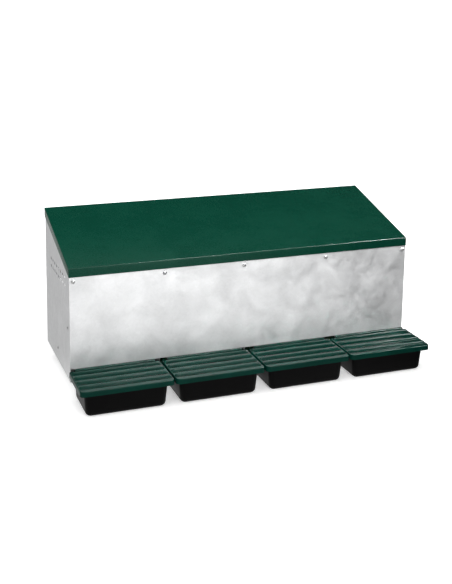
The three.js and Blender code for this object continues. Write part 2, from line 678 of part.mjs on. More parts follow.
function trayLid(n) {
  const x = trayMiddle(n);
  const half = LID_WIDTH / 2;
  const ring = (by, z) => {
    const box = { x0: x - half + by, x1: x + half - by, y0: LID_FRONT + by, y1: LID_REAR - by };
    return roundedRing(box, { front: LID_CORNER - by, rear: LID_REAR_CORNER - by }, z);
  };
  const under = LID_TOP - LID_WALL;
  const shell = loft([ring(0, LID_SKIRT_Z), ring(0, LID_TOP - LID_EDGE), ring(LID_EDGE, LID_TOP)]);
  const hollow = loft([ring(LID_WALL, LID_SKIRT_Z - OVERCUT), ring(LID_WALL, under)]);
  const ribs = [];
  for (let i = 0; i < RIB_COUNT; i += 1) {
    ribs.push(lidRib(x, i));
  }
  // the skirt is open at the rear, and between the posts the bead is the plate's rear edge
  const inside = half - LID_REAR_CORNER - LID_WALL;
  const behind = LID_REAR + OVERCUT;
  const skirtZ = LID_SKIRT_Z - OVERCUT;
  const above = LID_TOP + RIB_HEIGHT + OVERCUT;
  const rearWay = block([x - inside, x + inside], [LID_REAR - BEAD_RADIUS, behind], [skirtZ, under]);
  const betweenPosts = POST_HALF + BEAD_PLAY;
  const rearEdge = block([x - betweenPosts, x + betweenPosts], [LID_AXIS_Y, behind], [skirtZ, above]);
  const postSlots = [-1, 1].map((side) => {
    const faces = sorted(x + side * BEAD_HALF, x + side * betweenPosts);
    return block(faces, [LID_AXIS_Y - BEAD_RADIUS - BEAD_PLAY, behind], [skirtZ, above]);
  });
  const plate = cut(join(cut(shell, hollow), ...ribs), rearWay, rearEdge, ...postSlots);
  return join(plate, lidBead(x));
}

// ---------------------------------------------------------------- nest mats

function nestMat(n) {
  const x = nestMiddle(n);
  const half = NEST_PITCH / 2 - MAT_PLAY;
  const y0 = PANEL_HEM + MAT_FRONT_GAP;
  const y1 = INNER_BACK - FLANGE / 2;
  const outline = [
    [y0, floorTop(y0) + GAP],
    [y1, floorTop(y1) + GAP],
    [y1, floorTop(y1) + MAT_THICK],
    [y0 + MAT_CHAMFER, floorTop(y0) + MAT_THICK],
    [y0, floorTop(y0) + MAT_THICK - MAT_CHAMFER],
  ];
  const stepEnd = LEDGE_WIDTH + 2 * SHEET;
  return alongX(outline, [
    Math.max(x - half, stepEnd),
    Math.min(x + half, BODY_WIDTH - stepEnd),
  ]);
}

// ---------------------------------------------------------------- folding perch

// arms stand just left of their brackets' ears
const earX = (x) => x + BRACKET_WIDTH / 2 - BRACKET_THICK;
const armX = (x) => earX(x) - GAP - ARM_THICK;
const PERCH_PIVOT = [PERCH_PIVOT_Y, PERCH_PIVOT_Z];
const PERCH_ROD = [PERCH_PIVOT_Y, PERCH_PIVOT_Z + PERCH_REACH];
const perchBore = (x, radius, at, sides) =>
  bar('x', radius, [x - BRACKET_WIDTH, x + BRACKET_WIDTH], at, sides);

function perchBracket(x) {
  const foot = BODY_DEPTH + GAP;
  const z0 = PERCH_PIVOT_Z - BRACKET_HEIGHT / 2;
  const z1 = PERCH_PIVOT_Z + BRACKET_HEIGHT / 2;
  const half = BRACKET_WIDTH / 2;
  const base = block([x - half, x + half], [foot, foot + BRACKET_THICK], [z0, z1]);
  const ear = new THREE.Shape();
  ear.moveTo(foot, z0);
  ear.lineTo(PERCH_PIVOT_Y, PERCH_PIVOT_Z - ARM_WIDTH / 2);
  ear.absarc(...PERCH_PIVOT, ARM_WIDTH / 2, -Math.PI / 2, Math.PI / 2);
  ear.lineTo(foot, z1);
  const earSolid = alongX(ear, [earX(x), earX(x) + BRACKET_THICK]);
  return cut(join(base, earSolid), perchBore(x, PIVOT_HOLE_RADIUS, PERCH_PIVOT));
}

function perchArm(x) {
  const [, top] = PERCH_ROD;
  const half = ARM_WIDTH / 2;
  const span = [armX(x), armX(x) + ARM_THICK];
  const strap = new THREE.Shape();
  strap.absarc(...PERCH_PIVOT, half, Math.PI, 2 * Math.PI);
  strap.lineTo(PERCH_PIVOT_Y + half, top);
  strap.lineTo(PERCH_PIVOT_Y - half, top);
  const eye = bar('x', PERCH_EYE_RADIUS, span, PERCH_ROD, ROUND_SIDES);
  const rodHole = perchBore(x, PERCH_RADIUS + GAP, PERCH_ROD, ROUND_SIDES);
  const pivotHole = perchBore(x, PIVOT_HOLE_RADIUS, PERCH_PIVOT);
  return cut(join(alongX(strap, span), eye), rodHole, pivotHole);
}

function perchRod() {
  const middle = BODY_WIDTH / 2;
  const span = [middle - PERCH_LENGTH / 2, middle + PERCH_LENGTH / 2];
  return bar('x', PERCH_RADIUS, span, PERCH_ROD, ROUND_SIDES);
}

function pivotBolt(x) {
  const hexagon = 6;
  const left = armX(x) - GAP;
  const right = earX(x) + BRACKET_THICK + GAP;
  const shank = bar('x', PIVOT_BOLT_RADIUS, [left - OVERCUT, right + OVERCUT], PERCH_PIVOT);
  const head = bar('x', PIVOT_HEAD_RADIUS, [right, right + PIVOT_HEAD_HEIGHT], PERCH_PIVOT, hexagon);
  const nut = bar('x', PIVOT_HEAD_RADIUS, [left - PIVOT_HEAD_HEIGHT, left], PERCH_PIVOT, hexagon);
  return join(shank, head, nut);
}

// ---------------------------------------------------------------- assembly

const left = sidePanel();
place('left_side_panel', left, galvanised());
place('right_side_panel', mirrored(left), galvanised());
place('front_panel', frontPanel(), galvanised());
place('front_sill', frontSill(), galvanised());
place('nest_floor', nestFloor(), galvanised());
place('entrance_panel', entrancePanel(), galvanised());
DIVIDERS.forEach((spec, i) => place(`divider_${i + 1}`, divider(spec), galvanised()));
place('roof_panel', roofPanel(), greenPaint());

HINGE_X.forEach((x, i) => {
  const side = ['left', 'right'][i];
  place(`roof_hinge_body_leaf_${side}`, hingeBodyLeaf(x), zincSteel());
  place(`roof_hinge_roof_leaf_${side}`, hingeRoofLeaf(x), zincSteel());
  place(`roof_hinge_pin_${side}`, hingePin(x), zincSteel());
});

for (let n = 0; n < NESTS; n += 1) {
  place(`nest_mat_${n + 1}`, nestMat(n), matPlastic());
  place(`egg_tray_${n + 1}`, eggTray(n), blackPlastic());
  place(`tray_lid_${n + 1}`, trayLid(n), greenPlastic());
}

const screwShape = {
  headRadius: SCREW_HEAD_RADIUS,
  headHeight: SCREW_HEAD_HEIGHT,
  shankRadius: SCREW_RADIUS,
  length: SCREW_LENGTH,
};
FLANGE_SCREW_X.forEach((x, i) => {
  const front = place(`front_screw_${i + 1}`, fastener(screwShape), zincSteel());
  front.rotation.x = Math.PI;
  front.position.set(x, -GAP, FRONT_SCREW_Z);
  const rear = place(`rear_screw_${i + 1}`, fastener(screwShape), zincSteel());
  rear.position.set(x, BODY_DEPTH + GAP, REAR_SCREW_Z);
});

const rivetShape = {
  headRadius: RIVET_HEAD_RADIUS,
  headHeight: RIVET_HEAD_HEIGHT,
  shankRadius: RIVET_RADIUS,
  length: RIVET_LENGTH,
  sides: 10,
};
for (const [kind, { y, z }] of Object.entries({ tab: TAB_RIVET, floor: FLOOR_RIVET })) {
  for (const [side, turn] of [['left', 1], ['right', -1]]) {
    const rivet = place(`${kind}_rivet_${side}`, fastener(rivetShape), zincSteel());
    rivet.rotation.z = (turn * Math.PI) / 2;
    rivet.position.set(turn > 0 ? -GAP : BODY_WIDTH + GAP, y, z);
  }
}

PERCH_X.forEach((x, i) => {
  const side = ['left', 'middle', 'right'][i];
  place(`perch_bracket_${side}`, perchBracket(x), zincSteel());
  place(`perch_arm_${side}`, perchArm(x), zincSteel());
  place(`perch_pivot_bolt_${side}`, pivotBolt(x), zincSteel());
});
place('perch_rod', perchRod(), beech());

// origin: middle of the whole box, on the ground
const box = new THREE.Box3().setFromObject(nest);
nest.position.set(-(box.min.x + box.max.x) / 2, -(box.min.y + box.max.y) / 2, 0);

export default nest;
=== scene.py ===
import json
import math
import random

import bmesh
import bpy
from mathutils import Matrix, Vector


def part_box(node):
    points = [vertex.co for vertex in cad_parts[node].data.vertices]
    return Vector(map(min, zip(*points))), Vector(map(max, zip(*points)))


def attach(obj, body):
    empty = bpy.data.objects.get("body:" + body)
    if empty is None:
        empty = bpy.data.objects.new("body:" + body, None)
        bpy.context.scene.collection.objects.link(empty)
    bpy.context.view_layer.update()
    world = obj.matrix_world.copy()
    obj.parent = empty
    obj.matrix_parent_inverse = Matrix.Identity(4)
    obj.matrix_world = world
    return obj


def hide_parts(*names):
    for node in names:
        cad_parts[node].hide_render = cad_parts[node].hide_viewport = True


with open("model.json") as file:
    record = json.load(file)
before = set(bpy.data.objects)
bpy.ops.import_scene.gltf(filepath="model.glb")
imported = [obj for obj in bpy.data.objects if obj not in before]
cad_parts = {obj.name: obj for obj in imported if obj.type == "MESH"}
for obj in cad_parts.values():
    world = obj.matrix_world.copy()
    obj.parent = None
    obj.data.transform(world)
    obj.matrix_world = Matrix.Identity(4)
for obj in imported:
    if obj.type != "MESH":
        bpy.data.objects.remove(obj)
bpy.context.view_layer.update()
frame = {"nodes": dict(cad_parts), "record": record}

MM = 0.001
RECORD = frame["record"]
BODY_OF = {node: body for body, nodes in RECORD["behaviour"]["bodies"].items() for node in nodes}
SLOT_OF = {part["node"]: part["material_slot"] for part in RECORD["subparts"]}
NESTS = 4

# ------------------------------------------------------------------ material nodes


class Surface:
    """A procedural material: a Principled shader and the few nodes that feed it."""

    def __init__(self, name, **constants):
        self.material = bpy.data.materials.new(name)
        self.material.use_nodes = True
        self.tree = self.material.node_tree
        self.tree.nodes.clear()
        self.shader = self.tree.nodes.new("ShaderNodeBsdfPrincipled")
        output = self.tree.nodes.new("ShaderNodeOutputMaterial")
        self.tree.links.new(self.shader.outputs["BSDF"], output.inputs["Surface"])
        self.place = self.tree.nodes.new("ShaderNodeTexCoord").outputs["Object"]
        for socket, value in constants.items():
            self.shader.inputs[socket.replace("_", " ")].default_value = value

    def node(self, kind, inputs, **settings):
        made = self.tree.nodes.new(kind)
        for key, value in settings.items():
            setattr(made, key, value)
        for key, value in inputs.items():
            if isinstance(value, bpy.types.NodeSocket):
                self.tree.links.new(value, made.inputs[key])
            else:
                made.inputs[key].default_value = value
        return made

    def stretched(self, stretch):
        """Coordinates in units of the given lengths, in metres, along x, y and z."""
        scale = tuple(1 / length for length in stretch)
        return self.node("ShaderNodeMapping", {"Vector": self.place, "Scale": scale}).outputs[0]

    def noise(self, size, detail=2.0, roughness=0.5, distortion=0.0):
        """Cloudy values around 0.5. Size is a length in metres, or one for each axis."""
        size = size if isinstance(size, tuple) else (size, size, size)
        inputs = {
            "Vector": self.stretched(size),
            "Scale": 1.0,
            "Detail": detail,
            "Roughness": roughness,
            "Distortion": distortion,
        }
        return self.node("ShaderNodeTexNoise", inputs).outputs[0]

    def cells(self, size, warp=0.0):
        """A random value for each cell of a broken-up pattern, as in zinc spangle."""
        place = self.stretched((size, size, size))
        if warp:
            wobble = self.node("ShaderNodeTexNoise", {"Vector": place, "Scale": 1.3, "Detail": 2.0})
            place = self.node(
                "ShaderNodeVectorMath",
                {0: wobble.outputs["Color"], 1: (warp, warp, warp), 2: place},
                operation="MULTIPLY_ADD",
            ).outputs[0]
        colour = self.node("ShaderNodeTexVoronoi", {"Vector": place, "Scale": 1.0}).outputs["Color"]
        return self.node("ShaderNodeSeparateColor", {"Color": colour}).outputs[0]

    def span(self, value, low, high, start=0.3, end=0.7):
        """Value, from start to end, becomes low to high."""
        inputs = {"Value": value, "From Min": start, "From Max": end, "To Min": low, "To Max": high}
        return self.node("ShaderNodeMapRange", inputs, clamp=True).outputs[0]

    def maths(self, operation, a, b):
        return self.node("ShaderNodeMath", {0: a, 1: b}, operation=operation).outputs[0]

    def mix(self, factor, first, second):
        """Colours first and second, mixed by factor."""
        made = self.node("ShaderNodeMix", {"Factor": factor}, data_type="RGBA")
        for socket, colour in ((made.inputs[6], first), (made.inputs[7], second)):
            if isinstance(colour, bpy.types.NodeSocket):
                self.tree.links.new(colour, socket)
            else:
                socket.default_value = (*colour, 1.0)
        return made.outputs[2]

    def bump(self, height, depth, normal=None):
        """Raises the surface by height times depth, in metres."""
        inputs = {"Height": height, "Distance": depth, "Strength": 1.0}
        if normal is not None:
            inputs["Normal"] = normal
        return self.node("ShaderNodeBump", inputs).outputs[0]

    def feed(self, **links):
        for socket, value in links.items():
            self.tree.links.new(value, self.shader.inputs[socket.replace("_", " ")])
        return self.material


def shade(colour, factor):
    return tuple(min(1.0, channel * factor) for channel in colour)


def galvanised_sheet():
    """Hot-dip zinc: soft clouds, faint spangle, and rolling marks along the sheet."""
    zinc = (0.735, 0.74, 0.745)
    s = Surface("galvanised_sheet", Metallic=0.68)
    spangle = s.cells(0.013, warp=0.9)
    small = s.cells(0.006, warp=0.7)
    clouds = s.noise(0.075, detail=4.0, roughness=0.6, distortion=0.6)
    rolled = s.noise((0.5, 0.5, 0.0035), detail=2.0)
    tone = s.mix(s.span(clouds, 0.0, 1.0), shade(zinc, 0.86), shade(zinc, 1.04))
    tone = s.mix(s.span(spangle, 0.0, 0.30, 0.0, 1.0), tone, shade(zinc, 0.80))
    tone = s.mix(s.span(small, 0.0, 0.14, 0.0, 1.0), tone, (0.86, 0.87, 0.88))
    gloss = s.maths("ADD", s.span(spangle, 0.0, 0.05, 0.0, 1.0), s.span(clouds, 0.34, 0.44))
    normal = s.bump(rolled, 0.000012)
    normal = s.bump(spangle, 0.00001, normal)
    normal = s.bump(s.noise(0.19, detail=1.0), 0.0012, normal)
    return s.feed(Base_Color=tone, Roughness=gloss, Normal=normal)


def green_paint():
    """Polyester coating on sheet: even colour, a trace of orange peel, dust in the flat."""
    green = (0.0008, 0.059, 0.0345)
    s = Surface("green_paint", Specular_IOR_Level=0.16)
    clouds = s.noise(0.16, detail=4.0, roughness=0.55)
    specks = s.noise(0.0022, detail=3.0, roughness=0.7)
    tone = s.mix(s.span(clouds, 0.0, 1.0), shade(green, 0.90), shade(green, 1.08))
    tone = s.mix(s.span(specks, 0.0, 0.05, 0.60, 0.80), tone, (0.05, 0.11, 0.08))
    gloss = s.maths("ADD", s.span(clouds, 0.20, 0.27), s.span(specks, 0.0, 0.08))
    normal = s.bump(s.noise(0.0016, detail=1.0), 0.000012)
    normal = s.bump(s.noise(0.22, detail=1.0), 0.0006, normal)
    return s.feed(Base_Color=tone, Roughness=gloss, Normal=normal)


def green_plastic():
    """Moulded lids: half gloss with a fine grain and slight flow marks."""
    green = (0.0012, 0.031, 0.0220)
    s = Surface("green_plastic", Specular_IOR_Level=0.05)
    flow = s.noise((0.09, 0.025, 0.05), detail=3.0, distortion=0.8)
    grain = s.noise(0.0009, detail=2.0)
    wear = s.noise((0.02, 0.0012, 0.01), detail=3.0, roughness=0.65)
    tone = s.mix(s.span(flow, 0.0, 1.0), shade(green, 0.82), shade(green, 1.15))
    tone = s.mix(s.span(wear, 0.0, 0.07, 0.62, 0.80), tone, (0.03, 0.075, 0.062))
    gloss = s.maths("ADD", s.span(flow, 0.13, 0.20), s.span(wear, 0.0, 0.08))
    normal = s.bump(grain, 0.00001)
    normal = s.bump(flow, 0.00015, normal)
    return s.feed(Base_Color=tone, Roughness=gloss, Normal=normal)


def black_plastic():
    """Moulded trays: satin black with a fine grain and light scuffs."""
    s = Surface("black_plastic", Specular_IOR_Level=0.04)
    clouds = s.noise(0.05, detail=3.0)
    scuffs = s.noise((0.03, 0.03, 0.0016), detail=4.0, roughness=0.7)
    tone = s.mix(s.span(clouds, 0.0, 1.0), (0.0012, 0.0012, 0.0013), (0.0021, 0.0021, 0.0022))
    tone = s.mix(s.span(scuffs, 0.0, 0.10, 0.60, 0.80), tone, (0.03, 0.03, 0.031))
    gloss = s.maths("ADD", s.span(clouds, 0.34, 0.42), s.span(scuffs, 0.0, 0.10))
    return s.feed(Base_Color=tone, Roughness=gloss, Normal=s.bump(s.noise(0.0008), 0.00001))


def turf_plastic():
    """Soft turf mat: blades a little lighter from tuft to tuft."""
    s = Surface("turf_plastic", Specular_IOR_Level=0.3)
    tufts = s.noise(0.012, detail=2.0)
    tone = s.mix(s.span(tufts, 0.0, 1.0), (0.010, 0.050, 0.014), (0.026, 0.105, 0.030))
    gloss = s.span(s.noise(0.003), 0.42, 0.62)
    return s.feed(Base_Color=tone, Roughness=gloss, Normal=s.bump(s.noise(0.001), 0.00003))


def zinc_steel():
    """Zinc-plated fasteners and fittings: brighter than the sheet, finely brushed."""
    s = Surface("zinc_steel", Metallic=1.0)
    clouds = s.noise(0.008, detail=3.0)
    brushed = s.noise((0.010, 0.0006, 0.0006), detail=2.0)
    tone = s.mix(s.span(clouds, 0.0, 1.0), (0.34, 0.35, 0.36), (0.50, 0.50, 0.49))
    gloss = s.maths("ADD", s.span(clouds, 0.22, 0.34), s.span(brushed, 0.0, 0.10))
    return s.feed(Base_Color=tone, Roughness=gloss, Normal=s.bump(brushed, 0.000006))


def beech_wood():
    """Turned beech: fine grain along the rod with short dark flecks."""
    s = Surface("beech_wood", Specular_IOR_Level=0.35)
    grain = s.noise((0.12, 0.0018, 0.0018), detail=4.0, roughness=0.6, distortion=0.4)
    flecks = s.noise((0.006, 0.0005, 0.0005), detail=1.0)
    tone = s.mix(s.span(grain, 0.0, 1.0), (0.48, 0.285, 0.14), (0.66, 0.44, 0.25))
    tone = s.mix(s.span(flecks, 0.0, 0.55, 0.64, 0.78), tone, (0.25, 0.12, 0.05))
    gloss = s.span(grain, 0.50, 0.66)
    return s.feed(Base_Color=tone, Roughness=gloss, Normal=s.bump(grain, 0.00008))


MATERIALS = {
    "galvanised_sheet": galvanised_sheet(),
    "green_paint": green_paint(),
    "green_plastic": green_plastic(),
    "black_plastic": black_plastic(),
    "mat_plastic": turf_plastic(),
    "zinc_plated_steel": zinc_steel(),
    "beech_wood": beech_wood(),
}

# ------------------------------------------------------------------ mesh helpers


def new_object(name, verts, faces):
    mesh = bpy.data.meshes.new(name)
    mesh.from_pydata([tuple(v) for v in verts], [], faces)
    obj = bpy.data.objects.new(name, mesh)
    bpy.context.scene.collection.objects.link(obj)
    return obj


def tidy_mesh(obj, merge=0.00001):
    """Joins doubled vertices and turns all faces outwards."""
    bm = bmesh.new()
    bm.from_mesh(obj.data)
    bmesh.ops.remove_doubles(bm, verts=bm.verts, dist=merge)
    bmesh.ops.dissolve_degenerate(bm, edges=bm.edges, dist=merge / 10)
    bmesh.ops.recalc_face_normals(bm, faces=bm.faces)
    bm.to_mesh(obj.data)
    bm.free()
    return obj


def bake_modifiers(obj):
    """The mesh as its modifiers make it."""
    depsgraph = bpy.context.evaluated_depsgraph_get()
    mesh = bpy.data.meshes.new_from_object(obj.evaluated_get(depsgraph), depsgraph=depsgraph)
    obj.modifiers.clear()
    obj.data = mesh
    return obj


def combine(obj, other, operation):
    """One clean solid from two, by union or difference. The other object is used up."""
    modifier = obj.modifiers.new("combine", "BOOLEAN")
    modifier.operation = operation
    modifier.solver = "EXACT"
    modifier.object = other
    bake_modifiers(obj)
    bpy.data.objects.remove(other)
    return obj


def round_edges(obj, width, segments=3, angle=30):
    modifier = obj.modifiers.new("round", "BEVEL")
    modifier.width = width
    modifier.segments = segments
    modifier.limit_method = "ANGLE"
    modifier.angle_limit = math.radians(angle)
    modifier.miter_outer = "MITER_ARC"
    return bake_modifiers(obj)


def as_piece(obj, *nodes, slot=None, body=None, sharp=35):
    """Shades the mesh, gives it its material, and lets it stand for its CAD nodes."""
    body = body or BODY_OF[nodes[0]]
    slot = slot or SLOT_OF[nodes[0]]
    mesh = obj.data
    mesh.materials.clear()
    mesh.materials.append(MATERIALS[slot])
    mesh.polygons.foreach_set("use_smooth", [True] * len(mesh.polygons))
    mesh.set_sharp_from_angle(angle=math.radians(sharp))
    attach(obj, body)
    if nodes:
        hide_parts(*nodes)
    return obj


def copy_moved(obj, name, move):
    """The same mesh again, moved by a matrix, as a mesh of its own."""
    mesh = obj.data.copy()
    mesh.transform(move)
    made = bpy.data.objects.new(name, mesh)
    bpy.context.scene.collection.objects.link(made)
    return made


def place_copies(first, node, name):
    """A copy of the first one's mesh for each nest, in its own node's place."""
    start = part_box(f"{node}_1")[0]
    for n in range(1, NESTS + 1):
        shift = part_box(f"{node}_{n}")[0] - start
        made = copy_moved(first, f"{name}_{n}", Matrix.Translation(shift))
        as_piece(made, f"{node}_{n}", sharp=40)
    bpy.data.objects.remove(first)


def box_mesh(name, low, high):
    (x0, y0, z0), (x1, y1, z1) = low, high
    verts = [(x, y, z) for x in (x0, x1) for y in (y0, y1) for z in (z0, z1)]
    faces = [(0, 1, 3, 2), (4, 6, 7, 5), (0, 4, 5, 1), (2, 3, 7, 6), (0, 2, 6, 4), (1, 5, 7, 3)]
    return new_object(name, verts, faces)


def skinned(name, rings):
    """Closed rings of points joined in order, with the first and last filled in."""
    count = len(rings[0])
    verts = [point for ring in rings for point in ring]
    faces = [tuple(reversed(range(count)))]
    for r in range(len(rings) - 1):
        for i in range(count):
            a, b = r * count + i, r * count + (i + 1) % count
            faces.append((a, b, b + count, a + count))
    last = (len(rings) - 1) * count
    faces.append(tuple(range(last, last + count)))
    return tidy_mesh(new_object(name, verts, faces))


def turned(name, profile, centre, axis, segments=32):
    """A profile of (along, radius) points turned round an axis through centre. Its ends lie on it."""
    axis = Vector(axis).normalized()
    side = axis.orthogonal().normalized()
    up = axis.cross(side)
    rings = []
    for along, radius in profile:
        ring = []
        for i in range(segments):
            angle = 2 * math.pi * i / segments
            arm = side * math.cos(angle) + up * math.sin(angle)
            ring.append(Vector(centre) + axis * along + arm * max(radius, 1e-6))
        rings.append(ring)
    return skinned(name, rings)


# ------------------------------------------------------------------ tray lids

LID_WALL = 2.2 * MM
LID_EDGE = 2.0 * MM
LID_CORNER = 12 * MM
LID_REAR_CORNER = 4 * MM
LID_DRAFT = 0.6 * MM
BEAD_RADIUS = 4.5 * MM
BEAD_PLAY = 0.8 * MM
BEAD_GAP = 0.3 * MM  # stub's tip to the outer face of its post
STUB_RADIUS = 2 * MM
PLATE_TO_BEAD_TOP = 6.8 * MM
RIB_HEIGHT = 5 * MM
RIB_HALF = 5.2 * MM
RIB_FULLNESS = 2.2  # 2 is a half round, and higher is fuller
RIB_FIRST = 17.5 * MM
RIB_STEP = 32 * MM
RIB_COUNT = 4
RIB_END = 2.5 * MM
RIB_END_LENGTH = 8 * MM
RIB_HOLLOW = 0.92  # of a rib's height, on the underside
GROOVE_DEPTH = 1.1 * MM
GROOVE_WIDTH = 2.8 * MM
GROOVE_LEAN = 0.6  # below 1 is deepest near the rib
LID_FRONT_ROWS = (0, 0.25, 0.6, 1.1, 1.7, 2.2, 3, 4.2, 5.8, 8, 11, 15, 19)
LID_REAR_ROWS = (9.8, 8.6, 7.2, 6.0, 4.5, 3.0, 2.2, 1.2, 0.5, 0)
LID_SIDE_COLUMNS = (0, 0.25, 0.6, 1.1, 1.7, 2.2, 2.9, 3.8, 5, 6.4, 8, 9.6)


def rounded_distance(x, y, low, high, front_radius, rear_radius):
    """How far a point lies inside a rectangle with rounded front and rear corners."""
    radius = front_radius if y < (low[1] + high[1]) / 2 else rear_radius
    middle = ((low[0] + high[0]) / 2, (low[1] + high[1]) / 2)
    dx = abs(x - middle[0]) - (high[0] - low[0]) / 2 + radius
    dy = abs(y - middle[1]) - (high[1] - low[1]) / 2 + radius
    outside = math.hypot(max(dx, 0), max(dy, 0))
    return radius - outside - min(max(dx, dy), 0)


def rib_profile(offset):
    """Height at offset from a rib's crest: about a half round, with a narrow groove along its front."""
    share = abs(offset) / RIB_HALF
    if share < 1:
        return RIB_HEIGHT * math.sqrt(1 - share**RIB_FULLNESS)
    share = (-offset - RIB_HALF) / GROOVE_WIDTH
    if 0 < share < 1:
        return -GROOVE_DEPTH * math.sin(math.pi * share**GROOVE_LEAN)
    return 0.0


def rib_end(distance):
    """How a rib comes down to the plate in a quarter round at each end."""
    share = min(max((distance - RIB_END) / RIB_END_LENGTH, 0), 1)
    return math.sqrt(1 - (1 - share) ** 2)


def rib_crests(rear):
    """Where the ribs' crests lie, from the lid's rear edge forwards."""
    return [rear - RIB_FIRST - RIB_STEP * k for k in range(RIB_COUNT)]


def lid_rows(low, high):
    """Places from front to rear where the lid's surface needs a row of points."""
    rows = {low[1] + d * MM for d in LID_FRONT_ROWS}
    for crest in rib_crests(high[1]):
        rows |= {crest + RIB_HALF * math.sin(math.radians(15 * step)) for step in range(-6, 7)}
        rows |= {crest - RIB_HALF - GROOVE_WIDTH * share for share in (0.1, 0.3, 0.5, 0.75, 1)}
        rows |= {crest + d * MM for d in (-14, 6.5, 9, 14)}
    rows = {y for y in rows if y < high[1] - 9.0 * MM or y > high[1] - 3.0 * MM}
    rows |= {high[1] - d * MM for d in LID_REAR_ROWS}
    kept = []
    for y in sorted(rows):
        if y <= high[1] + 1e-9 and (not kept or y - kept[-1] > 0.15 * MM):
            kept.append(y)
    return kept


def hinge_bead(centre, bead_half, tip):
    """A round bar along the lid's rear edge, with a thinner stub at each end for the tray's posts."""
    soft = 0.6 * MM
    chamfer = 0.4 * MM
    ends = [
        (tip, 0),
        (tip, STUB_RADIUS - chamfer),
        (tip - chamfer, STUB_RADIUS),
        (bead_half, STUB_RADIUS),
        (bead_half, BEAD_RADIUS - soft),
        (bead_half - soft, BEAD_RADIUS),
    ]
    profile = [(-a, r) for a, r in ends] + [(a, r) for a, r in reversed(ends)]
    return turned("bead", profile, centre, (1, 0, 0), 36)


